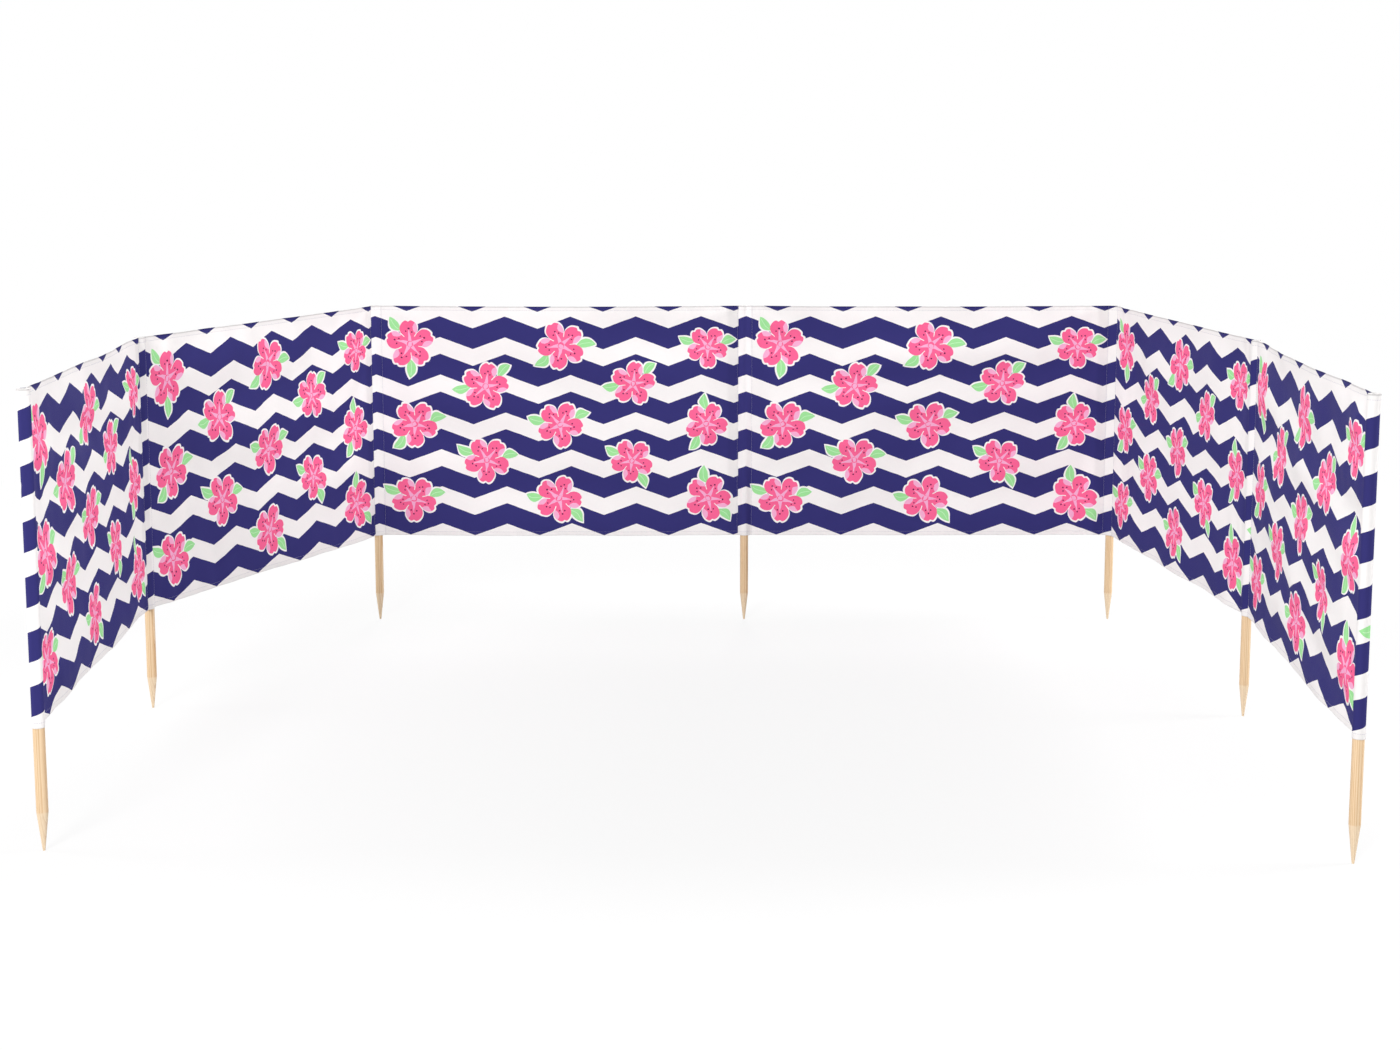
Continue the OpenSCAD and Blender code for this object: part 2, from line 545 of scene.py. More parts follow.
def thread_material():
    """Twisted polyester sewing thread."""
    twist_pitch, twist_height = 0.0009, 0.00006
    tone_scale, tone_range = 700.0, 0.25
    material, tree, shader = new_material("Sewing thread")
    place = put(tree, "ShaderNodeTexCoord").outputs["Object"]
    scale_colour(tree, shader, colours().thread, noise(tree, place, tone_scale) * tone_range + 1.0)
    x, y, z = parts(tree, place)
    twist = ((x + y + z) * (math.tau / twist_pitch)).math("SINE") * twist_height
    raise_surface(tree, shader, twist, strength=0.7)
    shader.inputs["Roughness"].default_value = 0.6
    shader.inputs["Sheen Weight"].default_value = 0.1
    return material


def pine_material():
    """Sanded pine with growth rings and fine streaks, paler where the point was cut."""
    c = colours()
    pith_x, pith_y = -0.021, 0.008  # metres from the pole's axis
    ring_width, ring_wander, ring_fade = 0.0043, 0.011, 2.2
    ring_share, streak_share, broad_share, least_share = 0.85, 0.9, 0.5, 0.05
    cut_above, cut_below, cut_fray, cut_share = 0.002, 0.003, 0.006, 0.5
    streak_height, ring_height = 0.00022, 0.00008
    mean_roughness, streak_roughness = 0.62, 0.25

    material, tree, shader = new_material("Sanded pine")
    place = put(tree, "ShaderNodeAttribute", {"attribute_name": GRAIN}).outputs["Vector"]
    x, y, z = parts(tree, place)

    def grain_noise(across, lengthways, detail):
        return noise(tree, vector(tree, x * across, y * across, z * lengthways), scale=1.0, detail=detail)

    wander = grain_noise(across=9.0, lengthways=1.3, detail=3.0) * ring_wander
    from_pith = ((x - pith_x) ** 2.0 + (y - pith_y) ** 2.0).math("SQRT") + wander
    ring = (from_pith / ring_width).math("FRACT") ** ring_fade
    streak = grain_noise(across=900.0, lengthways=14.0, detail=3.0)
    broad = grain_noise(across=20.0, lengthways=2.0, detail=2.0)
    share = ring * ring_share + streak * streak_share + broad * broad_share + least_share
    colour = blend(tree, share.math("MINIMUM", 1.0).math("MAXIMUM", 0.0), c.pine, c.pine_ring)

    tip = sizes().tip_length
    object_place = put(tree, "ShaderNodeTexCoord").outputs["Object"]
    height_up = parts(tree, object_place)[2] + streak * cut_fray
    cut = smooth_ramp(tree, height_up, tip + cut_above, tip - cut_below, cut_share)
    plug(tree, shader.inputs["Base Color"], blend(tree, cut, colour, c.pine_cut))
    plug(tree, shader.inputs["Roughness"], streak * streak_roughness + mean_roughness)
    shader.inputs["Specular IOR Level"].default_value = 0.35
    raise_surface(tree, shader, streak * streak_height - ring * ring_height, strength=0.6)
    return material


# Geometry Nodes

def new_shape_tree(name, inputs):
    """A geometry tree with its named inputs, and a Wire for each of them."""
    tree = bpy.data.node_groups.new(name, "GeometryNodeTree")
    tree.interface.new_socket("Geometry", in_out="INPUT", socket_type="NodeSocketGeometry")
    for label, kind in inputs:
        tree.interface.new_socket(label, in_out="INPUT", socket_type=kind)
    tree.interface.new_socket("Geometry", in_out="OUTPUT", socket_type="NodeSocketGeometry")
    start = tree.nodes.new("NodeGroupInput")
    return tree, {out.name: Wire(tree, out) for out in start.outputs if out.name}


def finish_shape_tree(tree, shape, material):
    real = put(tree, "GeometryNodeRealizeInstances", Geometry=shape)
    painted = put(tree, "GeometryNodeSetMaterial", Geometry=real.outputs[0], Material=material)
    end = tree.nodes.new("NodeGroupOutput")
    tree.links.new(painted.outputs[0], end.inputs[0])


def pole_tree():
    """A turned pole: blunt tip, taper, round shaft and eased top, from its named sizes."""
    tree, given = new_shape_tree("Turned pole", [
        ("Foot", "NodeSocketVector"),
        ("Length", "NodeSocketFloat"),
        ("Radius", "NodeSocketFloat"),
        ("Tip Length", "NodeSocketFloat"),
        ("Tip Radius", "NodeSocketFloat"),
        ("Top Radius", "NodeSocketFloat"),
        ("Grain Seed", "NodeSocketFloat"),
        ("Material", "NodeSocketMaterial"),
    ])
    # Shares of the grid's rows up to the tip's edge, the taper's top, the shaft's top and the crown's edge
    tip_edge, shoulder, shaft_top, crown = 0.04, 0.34, 0.88, 0.97
    round_points, upright_points = 41, 101
    grain_step = (0.004, -0.003, 3.1)  # metres in the wood from one pole to the next
    join_distance = 0.00001
    crisp_bend = math.radians(35)

    grid = put(
        tree, "GeometryNodeMeshGrid",
        Size_X=1.0, Size_Y=1.0, Vertices_X=round_points, Vertices_Y=upright_points,
    )
    px, py, _ = parts(tree, put(tree, "GeometryNodeInputPosition").outputs[0])
    round_by = (px + 0.5) * math.tau
    step = py + 0.5

    rise = ramp(tree, step, shaft_top, crown, math.pi / 2)
    shaft = given["Length"] - given["Top Radius"] - given["Tip Length"]
    height = ramp(tree, step, tip_edge, shoulder, given["Tip Length"])
    height = height + ramp(tree, step, shoulder, shaft_top, shaft) + rise.math("SINE") * given["Top Radius"]
    out = ramp(tree, step, 0.0, tip_edge, given["Tip Radius"])
    out = out + ramp(tree, step, tip_edge, shoulder, given["Radius"] - given["Tip Radius"])
    out = out - (rise.math("COSINE") * -1.0 + 1.0) * given["Top Radius"]
    out = out - ramp(tree, step, crown, 1.0, given["Radius"] - given["Top Radius"])

    local = vector(tree, out * round_by.math("COSINE"), out * round_by.math("SINE"), height)
    grain_at = put(tree, "ShaderNodeVectorMath", {"operation": "ADD"})
    plug(tree, grain_at.inputs[0], local)
    plug(tree, grain_at.inputs[1], vector(tree, *(given["Grain Seed"] * shift for shift in grain_step)))
    kept = put(
        tree, "GeometryNodeStoreNamedAttribute", {"data_type": "FLOAT_VECTOR", "domain": "POINT"},
        Geometry=grid.outputs["Mesh"], Name=GRAIN, Value=grain_at.outputs[0],
    )
    shaped = put(tree, "GeometryNodeSetPosition", Geometry=kept.outputs[0], Position=local)
    placed = put(tree, "GeometryNodeSetPosition", Geometry=shaped.outputs[0], Offset=given["Foot"])
    closed = put(tree, "GeometryNodeMergeByDistance", Geometry=placed.outputs[0], Distance=join_distance)
    smooth = put(tree, "GeometryNodeSetShadeSmooth", Geometry=closed.outputs[0], Shade_Smooth=True)
    bend = Wire(tree, put(tree, "GeometryNodeInputMeshEdgeAngle").outputs[0])
    crisp = put(
        tree, "GeometryNodeSetShadeSmooth", {"domain": "EDGE"},
        Geometry=smooth.outputs[0], Selection=bend > crisp_bend, Shade_Smooth=False,
    )
    finish_shape_tree(tree, crisp.outputs[0], given["Material"])
    return tree


def stitch_tree():
    """A row of lockstitches along each line of the mesh, standing up along its stored direction."""
    tree, given = new_shape_tree("Lockstitches", [
        ("Pitch", "NodeSocketFloat"),
        ("Stitch Length", "NodeSocketFloat"),
        ("Thread Width", "NodeSocketFloat"),
        ("Material", "NodeSocketMaterial"),
    ])
    line = put(tree, "GeometryNodeMeshToCurve", Mesh=given["Geometry"])
    spots = put(
        tree, "GeometryNodeResampleCurve", {"mode": "LENGTH"}, Curve=line.outputs[0], Length=given["Pitch"],
    )
    tangent = put(tree, "GeometryNodeInputTangent").outputs[0]
    up = put(tree, "GeometryNodeInputNamedAttribute", {"data_type": "FLOAT_VECTOR"}, Name=LIE).outputs[0]
    ahead = put(tree, "FunctionNodeAlignRotationToVector", {"axis": "X"}, Vector=tangent)
    upright = put(
        tree, "FunctionNodeAlignRotationToVector", {"axis": "Z", "pivot_axis": "X"},
        Rotation=ahead.outputs[0], Vector=up,
    )
    sunk, raised = -0.55, 1.0  # thread widths from the cloth, at a stitch's ends and its middle
    bend_steps, thread_sides = 3, 4
    half = given["Stitch Length"] * 0.5
    width = given["Thread Width"]
    thread = put(
        tree, "GeometryNodeCurveQuadraticBezier", Resolution=bend_steps,
        Start=vector(tree, -half, 0.0, width * sunk),
        Middle=vector(tree, 0.0, 0.0, width * raised),
        End=vector(tree, half, 0.0, width * sunk),
    )
    ply = put(tree, "GeometryNodeCurvePrimitiveCircle", Resolution=thread_sides, Radius=width * 0.5)
    stitch = put(
        tree, "GeometryNodeCurveToMesh",
        Curve=thread.outputs[0], Profile_Curve=ply.outputs[0], Fill_Caps=True,
    )
    soft = put(tree, "GeometryNodeSetShadeSmooth", Geometry=stitch.outputs[0], Shade_Smooth=True)
    row = put(
        tree, "GeometryNodeInstanceOnPoints",
        Points=spots.outputs[0], Instance=soft.outputs[0], Rotation=upright.outputs[0],
    )
    finish_shape_tree(tree, row.outputs[0], given["Material"])
    return tree


def grow(piece, tree, **values):
    """Runs a geometry tree on a piece and keeps the result as its plain mesh."""
    modifier = piece.modifiers.new(tree.name, "NODES")
    modifier.node_group = tree
    for item in tree.interface.items_tree:
        label = item.name.replace(" ", "_").lower()
        if item.in_out == "INPUT" and label in values:
            modifier[item.identifier] = values[label]
    graph = bpy.context.evaluated_depsgraph_get()
    mesh = bpy.data.meshes.new_from_object(
        piece.evaluated_get(graph), preserve_all_data_layers=True, depsgraph=graph,
    )
    piece.modifiers.clear()
    mesh.name = piece.name
    piece.data = mesh
    return piece


# Cloth

WRAP_STEP = 0.0022  # metres between the mesh lines round a pole
SLOPE_STEPS = 6  # mesh steps from the round of a sleeve to its seam
SEAM_POINTS = 2  # points of a wrap on its flat seam
LAP_FADE_STEPS = 2  # mesh steps over which a lapped edge settles into its bay
ROUND_OF_FOLD = ((0.0025, 1.0), (0.0008, 0.95), (0.0002, 0.75))  # metres from a folded edge, share of its lap
ABOVE_FOLD = 9  # first row of the face above the round of the bottom fold
ABOVE_HEM = 12  # row of the face level with the hem's edge
CAP_COLUMNS, CAP_ROWS = 29, 9
CAP_CROWN = 0.0003  # metres that a sleeve's top rises at its middle
CAP_END_REACH = 0.965 * math.pi  # how far the top of an end sleeve goes round its pole
CAP_OVERHANG = 1.5  # layer steps that a top reaches past the middle of its back strip


def new_piece(name, mesh):
    piece = bpy.data.objects.new(name, mesh)
    bpy.context.scene.collection.objects.link(piece)
    return piece


def wrap_path(reach):
    """Plan of one layer from the angle reach round a pole to its seam, for a bay that runs along +x."""
    s = sizes()
    radius = POLE_RADIUS + s.layer_clearance
    corner = np.array([SEAM_END - s.seam_width, s.layer_step / 2])
    leave = math.atan2(corner[1], corner[0]) + math.acos(radius / np.hypot(*corner))
    touch = radius * np.array([math.cos(leave), math.sin(leave)])
    flank = corner - touch
    if reach > leave:
        turns = np.linspace(reach, leave, max(3, round((reach - leave) * radius / WRAP_STEP)))
        start = radius * np.stack([np.cos(turns), np.sin(turns)], axis=1)
    else:
        ray = np.array([-math.sin(reach), math.cos(reach)])
        start = (touch - flank * (touch @ ray) / (flank @ ray))[None]
    steps = np.linspace(0.0, 1.0, SLOPE_STEPS + 1)[1:, None]
    slope = start[-1] + (corner - start[-1]) * steps
    middle = corner + [s.seam_width / 2, 0.0]
    end = corner + [s.seam_width, 0.0]
    return np.concatenate([start, slope, [middle, end]])


def layer_path(k, side, reach=None):
    """Plan of one layer of a sleeve, from the pole's foot: side is 1 for the back and -1 for the front."""
    half = front_half_angle(k)
    if k in FEET_WITH_TWO_BAYS and side > 0:
        half = math.pi - half
    half = reach or half
    stretches = []
    for b, mirror in ((k - 1, -1.0), (k, 1.0)):
        if not 1 <= b <= BAY_COUNT:
            continue
        stretch = (wrap_path(half) * [mirror, side]) @ bay_turn(b)
        stretches.append(stretch[::-1] if mirror < 0 else stretch)
    if len(stretches) == 2:
        stretches[0] = stretches[0][:-1]
    return np.concatenate(stretches)


def end_wrap(b, k):
    """Plan of a bay's cloth at one end, from its free edge to its front seam, as if the bay ran along +x."""
    front = wrap_path(front_half_angle(k)) * [1.0, -1.0]
    if k not in FEET_WITH_TWO_BAYS:
        return np.concatenate([wrap_path(math.pi)[:0:-1], front])
    if b != sleeve_bay(k):
        return front[-SEAM_POINTS - 1:]
    across = layer_path(k, -1) @ bay_turn(b).T
    return across if b == k else across[::-1] * [-1.0, 1.0]


def bay_path(b):
    """Plan of a bay's cloth along x, sheltered side at -y.

    With it come its seam columns, which columns are turned back round an end pole, and how far each
    column lies over the neighbour's cloth.
    """
    s = sizes()
    run = bay_length(b)
    left = end_wrap(b, b)
    right = (end_wrap(b, b + 1) * [-1.0, 1.0] + [run, 0.0])[::-1]
    count = round((run - 2 * SEAM_END) / s.mesh_step)
    flat = np.linspace(SEAM_END, run - SEAM_END, count + 1)[1:-1]
    flat = np.stack([flat, np.zeros_like(flat)], axis=1)
    path = np.concatenate([left, flat, right])
    seams = [len(left) - 2, len(path) - len(right) + 1]
    turned = np.zeros(len(path), bool)
    if b == 1:
        seams.append(1)
        turned[: len(left) // 2] = True
    if b == BAY_COUNT:
        seams.append(len(path) - 2)
        turned[len(path) - len(right) // 2 :] = True
    over = np.zeros(len(path))
    for k, distance in ((b, path[:, 0]), (b + 1, run - path[:, 0])):
        if k in FEET_WITH_TWO_BAYS and b != sleeve_bay(k):
            over += np.clip(1.0 - (distance - SEAM_END) / (LAP_FADE_STEPS * s.mesh_step), 0.0, 1.0)
    return path, seams, turned, over


def path_lengths(path):
    return np.concatenate([[0.0], np.cumsum(np.hypot(*np.diff(path, axis=0).T))])


def plan_normals(path):
    """Unit directions to the left of a path's run."""
    tangent = np.gradient(path, axis=0)
    tangent /= np.linalg.norm(tangent, axis=1, keepdims=True)
    return np.stack([-tangent[:, 1], tangent[:, 0]], axis=1)


def hem_rows():
    """Up the cloth from hem edge to hem edge: place in the print, height, and step to the back."""
    s = sizes()
    lap = s.layer_step
    turned = [(z, lap) for z in (s.hem_depth, s.hem_stitch, s.hem_stitch / 2)]
    turned += [(z, share * lap) for z, share in ROUND_OF_FOLD]
    bottom = [(-z, z, lap_at) for z, lap_at in turned] + [(0.0, 0.0, 0.5 * lap)]
    bottom += [(z, z, lap - lap_at) for z, lap_at in reversed(turned)]
    count = round((CLOTH_HEIGHT - 2 * s.hem_depth) / s.mesh_step)
    middle = [(z, z, 0.0) for z in np.linspace(s.hem_depth, CLOTH_HEIGHT - s.hem_depth, count + 1)[1:-1]]
    top = [(CLOTH_HEIGHT - p, CLOTH_HEIGHT - z, lap_at) for p, z, lap_at in reversed(bottom)]
    rows = np.array(bottom + middle + top)
    turned_stitches, face_stitches = 1, len(bottom) - 2
    last = len(rows) - 1
    return rows, [turned_stitches, face_stitches, last - face_stitches, last - turned_stitches]


def ease(value):
    value = np.clip(value, 0.0, 1.0)
    return value * value * (3 - 2 * value)


def hem_zone(height):
    """One over the hems, where the cloth is double, and zero between them."""
    hem = sizes().hem_depth
    return 1.0 - ease((np.minimum(height, CLOTH_HEIGHT - height) - hem) / (0.5 * hem))


def waves(seed, x, z, longest, count=7):
    """A smooth random surface from about -1 to 1, the same for the same seed."""
    shortest_share = 0.45
    chance = np.random.default_rng(seed)
    total = np.zeros(np.broadcast(x, z).shape)
    for _ in range(count):
        heading = chance.uniform(0, math.tau)
        size = math.tau / (longest * chance.uniform(shortest_share, 1.0))
        total += np.sin(size * (math.cos(heading) * x + math.sin(heading) * z) + chance.uniform(0, math.tau))
    return total / math.sqrt(count)


# First seeds of each kind of fold, to which the bay's number is added
BOW_SEED, SLACK_SEED, RIPPLE_SEED, PULL_SEED, RIM_SEED = 40, 60, 90, 130, 80
LEFT_CREASE_SEED, RIGHT_CREASE_SEED = 10, 20
CREASE_DEPTH_STEP = 70  # from the seed of a crease to the seed of its depth


def side_creases(seed, side, z, phase):
    """Folds beside a sleeve, as shares of their depth, at the distance side from its pole."""
    pitch, reach = 0.083, 0.14
    drift, drift_length = 0.35, 0.5
    mean_depth, depth_length = 0.65, 0.3
    crease = np.sin(math.tau * (side / pitch + drift * waves(seed, side, z, drift_length)) + phase)
    depth = mean_depth + (1.0 - mean_depth) * waves(seed + CREASE_DEPTH_STEP, 0 * side, z, depth_length)
    return crease * np.exp(-side / reach) * depth


def corner_fan(dx, dz, phase):
    """Folds that spread from a corner of a bay, as shares of their depth."""
    folds, reach, core = 9, 0.2, 0.01
    return np.sin(folds * np.arctan2(dz, dx + core) + phase) * np.exp(-np.hypot(dx, dz) / reach)


def bay_relief(b, x, z):
    """How far wind and slack move a bay's cloth: towards the back, and up."""
    s = sizes()
    slack_depth, slack_length = 0.0024, 0.62
    ripple_depth, ripple_length = 0.0011, 0.21
    pull_length, pull_stretch = 0.23, 0.28
    rim_depth, rim_length, rim_reach = 0.0012, 0.4, 0.06
    seam_hold = 0.09  # metres from a seam to where the cloth moves freely
    fan_share = 0.9
    least_bow, hem_bow = 0.55, 0.7  # shares of the full bow, in the flattest bay and along the hems
    low_sag = 0.6  # share of the sag at the bottom hem

    run = bay_length(b)
    chance = np.random.default_rng(BOW_SEED + b)
    held = ease((x - SEAM_END) / seam_hold) * ease((run - SEAM_END - x) / seam_hold)
    across = np.clip((x - SEAM_END) / (run - 2 * SEAM_END), 0, 1)
    up = np.clip(z / CLOTH_HEIGHT, 0, 1)
    bow = s.billow * chance.uniform(least_bow, 1.0) * chance.choice([-1, 1])
    back = bow * np.sin(math.pi * across) * (hem_bow + (1.0 - hem_bow) * np.sin(math.pi * up))
    back = back + slack_depth * waves(SLACK_SEED + b, x, z, slack_length)
    back = back + ripple_depth * waves(RIPPLE_SEED + b, x, z, ripple_length)
    back = back + s.pull_depth * waves(PULL_SEED + b, pull_stretch * x, z, pull_length)
    for side, seed in ((x, LEFT_CREASE_SEED + b), (run - x, RIGHT_CREASE_SEED + b)):
        back = back + s.fold_depth * side_creases(seed, side, z, chance.uniform(0, math.tau))
    for corner_x in (SEAM_END, run - SEAM_END):
        for corner_z in (0.0, CLOTH_HEIGHT):
            fan = corner_fan(abs(x - corner_x), abs(z - corner_z), chance.uniform(0, math.tau))
            back = back + fan_share * s.fold_depth * fan
    rim = np.exp(-np.minimum(z, CLOTH_HEIGHT - z) / rim_reach)
    back = back + rim_depth * rim * waves(RIM_SEED + b, x, 0 * z, rim_length)
    rise = -s.sag * 4 * across * (1 - across) * (low_sag + (1.0 - low_sag) * up)
    return back * held, rise


def surface_normals(grid):
    """Unit normals of a grid of points, to the right of its columns as its rows go up."""
    along = np.gradient(grid, axis=1)
    up = np.gradient(grid, axis=0)
    normal = np.cross(along, up)
    return normal / np.maximum(np.linalg.norm(normal, axis=2, keepdims=True), 1e-12)


def to_print_map(along, up):
    return np.stack([(along + MAP_MARGIN) / MAP_SPAN, (up + MAP_MARGIN) / MAP_SPAN], axis=-1)


def cloth_shell(grid, normal):
    """Corners and faces of a closed sheet on a grid: its face, its reverse and its cut edges."""
    half = sizes().cloth_thickness / 2
    rows, columns = grid.shape[:2]
    corners = np.concatenate([(grid + normal * half).reshape(-1, 3), (grid - normal * half).reshape(-1, 3)])
    index = np.arange(rows * columns).reshape(rows, columns)
    quads = np.stack([index[:-1, :-1], index[:-1, 1:], index[1:, 1:], index[1:, :-1]], axis=-1).reshape(-1, 4)
    rim = np.concatenate([index[0, :], index[1:, -1], index[-1, -2::-1], index[-2:0:-1, 0]])
    after = np.roll(rim, -1)
    below = rows * columns
    edge = np.stack([after, rim, rim + below, after + below], axis=-1)
    turned_over = quads[:, [0, 3, 2, 1]]  # keeps the diagonal, so the two sides stay parallel
    faces = np.concatenate([quads, turned_over + below, edge])
    kinds = np.concatenate([np.zeros(len(quads)), np.ones(len(quads)), np.zeros(len(edge))]).astype(int)
    on_rim = np.zeros(rows * columns, bool)
    on_rim[rim] = True
    return corners, faces, kinds, np.concatenate([on_rim, on_rim])


def sheet_piece(name, surfaces, materials):
    """One object from closed sheets, each with its place in the print, smooth but for its cut edges."""
    mesh = bpy.data.meshes.new(name)
    corners, faces, kinds, rims, maps = [], [], [], [], []
    start = 0
    for grid, normal, uv in surfaces:
        points, quads, kind, rim = cloth_shell(grid, normal)
        corners.append(points)
        faces.append(quads + start)
        kinds.append(kind)
        rims.append(rim)
        maps.append(np.concatenate([uv.reshape(-1, 2)] * 2))
        start += len(points)
    mesh.from_pydata(np.concatenate(corners).tolist(), [], np.concatenate(faces).tolist())
    mesh.polygons.foreach_set("material_index", np.concatenate(kinds))
    mesh.polygons.foreach_set("use_smooth", np.ones(len(mesh.polygons), bool))
    rim = np.concatenate(rims)
    ends = np.empty(len(mesh.edges) * 2, int)
    mesh.edges.foreach_get("vertices", ends)
    ends = ends.reshape(-1, 2)
    sharp = mesh.attributes.new("sharp_edge", "BOOLEAN", "EDGE")
    sharp.data.foreach_set("value", rim[ends].all(axis=1))
    loop_corner = np.empty(len(mesh.loops), int)
    mesh.loops.foreach_get("vertex_index", loop_corner)
    layer = mesh.uv_layers.new(name=PRINT_MAP)
    layer.uv.foreach_set("vector", np.concatenate(maps)[loop_corner].astype(np.float32).ravel())
    for material in materials:
        mesh.materials.append(material)
    mesh.validate()
    mesh.update()
    return new_piece(name, mesh)


def bay_surface(b):
    """Middle of a bay's cloth as a grid of points, with its normals and place in the print."""
    path, seams, turned, over = bay_path(b)
    rows, hem_stitch_rows = hem_rows()
    ahead, aside = bay_turn(b)
    to_back = plan_normals(path)
    print_up, height, step = rows.T
    double = hem_zone(height)[:, None]
    # Cloth that is turned back or lies over a neighbour stands clear of the layers under it
    step = step[:, None] - sizes().layer_step * (2 * double * turned[None] + (1 + double) * over[None])
    x = path[None, :, 0] + step * to_back[None, :, 0]
    y = path[None, :, 1] + step * to_back[None, :, 1]
    back, rise = bay_relief(b, path[None, :, 0], height[:, None])
    y = y + back
    foot = np.array(FEET[b].xy)
    plan = foot + x[..., None] * ahead + y[..., None] * aside
    z = CLOTH_BOTTOM + height[:, None] + rise
    grid = np.concatenate([plan, z[..., None]], axis=2)

    lengths = path_lengths(path)
    along = lengths - lengths[seams[0] + 1] + SEAM_END
    uv = to_print_map(*np.broadcast_arrays(along[None, :], print_up[:, None]))
    return grid, surface_normals(grid), uv, seams, hem_stitch_rows


def strip_surface(k):
    """Middle of a sleeve's back strip as a grid of points, with its normals and place in the print."""
    path = layer_path(k, 1)
    print_up, height, step = hem_rows()[0].T
    step = step + sizes().layer_step * hem_zone(height)
    plan = np.array(FEET[k].xy) + path[None] + step[:, None, None] * plan_normals(path)[None]
    rise = np.broadcast_to((CLOTH_BOTTOM + height)[:, None, None], (*plan.shape[:2], 1))
    grid = np.concatenate([plan, rise], axis=2)
    lengths = path_lengths(path)
    uv = to_print_map(*np.broadcast_arrays((lengths - lengths[-1] / 2)[None, :], print_up[:, None]))
    return grid, surface_normals(grid), uv


def cap_surface(k):
    """Middle of the cloth that closes a sleeve's top, from its front layer to its back layer."""
    s = sizes()
    two_bays = k in FEET_WITH_TWO_BAYS
    columns = np.linspace(0.0, 1.0, CAP_COLUMNS)
    edges = []
    for side in (-1, 1):
        path = layer_path(k, side, None if two_bays else CAP_END_REACH)
        start = SEAM_POINTS if k > 1 else 0
        stop = len(path) - (SEAM_POINTS if k < POLE_COUNT else 0)
        path = path[start:stop]
        lengths = path_lengths(path)
        edge = np.stack([np.interp(columns * lengths[-1], lengths, path[:, i]) for i in (0, 1)], axis=1)
        if side > 0 and two_bays:
            edge = edge + CAP_OVERHANG * s.layer_step * plan_normals(edge)
        edges.append(edge)
    share = np.linspace(0.0, 1.0, CAP_ROWS)[:, None]
    front, back = edges
    plan = np.array(FEET[k].xy) + front[None] + (back - front)[None] * share[..., None]
    crown = CAP_CROWN * np.sin(math.pi * share) * np.sin(math.pi * columns)[None]
    rise = CLOTH_BOTTOM + CLOTH_HEIGHT - s.layer_step + crown
    grid = np.concatenate([plan, np.broadcast_to(rise, plan.shape[:2])[..., None]], axis=2)
    width = np.linalg.norm(back - front, axis=1)
    along = np.broadcast_to((columns - 0.5)[None] * path_lengths(front)[-1], plan.shape[:2])
    up = CLOTH_HEIGHT + (share - 0.5) * width[None]
    return grid, surface_normals(grid), to_print_map(along, up)


def cloth_materials():
    """The printed face and the paler reverse of the cloth."""
    found = [bpy.data.materials.get(name) for name in (PRINTED_FACE, PALE_REVERSE)]
    if None in found:
        design = print_group()
        found = [
            cloth_material(PRINTED_FACE, design, 0.0),
            cloth_material(PALE_REVERSE, design, REVERSE_FADE),
        ]
    return found


def sew(name, lines, tree, material):
    """Stitching along lines of points, each with the direction that its threads stand up in."""
    s = sizes()
    points = np.concatenate([line for line, _ in lines])
    directions = np.concatenate([lie for _, lie in lines])
    edges = []
    start = 0
    for line, _ in lines:
        edges += [(start + i, start + i + 1) for i in range(len(line) - 1)]
        start += len(line)
    mesh = bpy.data.meshes.new(name)
    mesh.from_pydata(points.tolist(), edges, [])
    lie = mesh.attributes.new(LIE, "FLOAT_VECTOR", "POINT")
    lie.data.foreach_set("vector", directions.astype(np.float32).ravel())
    stitching = grow(
        new_piece(name, mesh), tree, pitch=s.stitch_pitch, stitch_length=s.stitch_length,
        thread_width=s.thread_width, material=material,
    )
    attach(stitching, "root")
    return stitching


def make_poles():
    """Turned poles in the places of the plain ones, each from another part of the wood."""
    s = sizes()
    tree = pole_tree()
    material = pine_material()
    for k, foot in FEET.items():
        name = f"pole_{k}_wood"
        pole = grow(
            new_piece(name, bpy.data.meshes.new(name)), tree,
            foot=foot, length=POLE_LENGTH, radius=POLE_RADIUS,
            tip_length=s.tip_length, tip_radius=s.tip_diameter / 2, top_radius=s.top_radius,
            grain_seed=float(k), material=material,
        )
        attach(pole, "root")
        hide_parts(f"pole_{k}")


def make_bays():
    """Bays of cloth. Those at the ends also make the whole sleeve of their end pole."""
    ends = {1: 1, BAY_COUNT: POLE_COUNT}
    for b in range(1, BAY_COUNT + 1):
        surfaces = [bay_surface(b)[:3]]
        nodes = [f"bay_cloth_{b}"]
        if b in ends:
            surfaces.append(cap_surface(ends[b]))
            nodes.append(f"sleeve_{ends[b]}")
        cloth = sheet_piece(f"bay_{b}_cloth", surfaces, cloth_materials())
        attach(cloth, "root")
        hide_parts(*nodes)


def make_sleeves():
    """Back strips and tops of the sleeves between two bays."""
    for k in FEET_WITH_TWO_BAYS:
        strip = sheet_piece(f"sleeve_{k}_strip", [strip_surface(k), cap_surface(k)], cloth_materials())
        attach(strip, "root")
        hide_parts(f"sleeve_{k}")


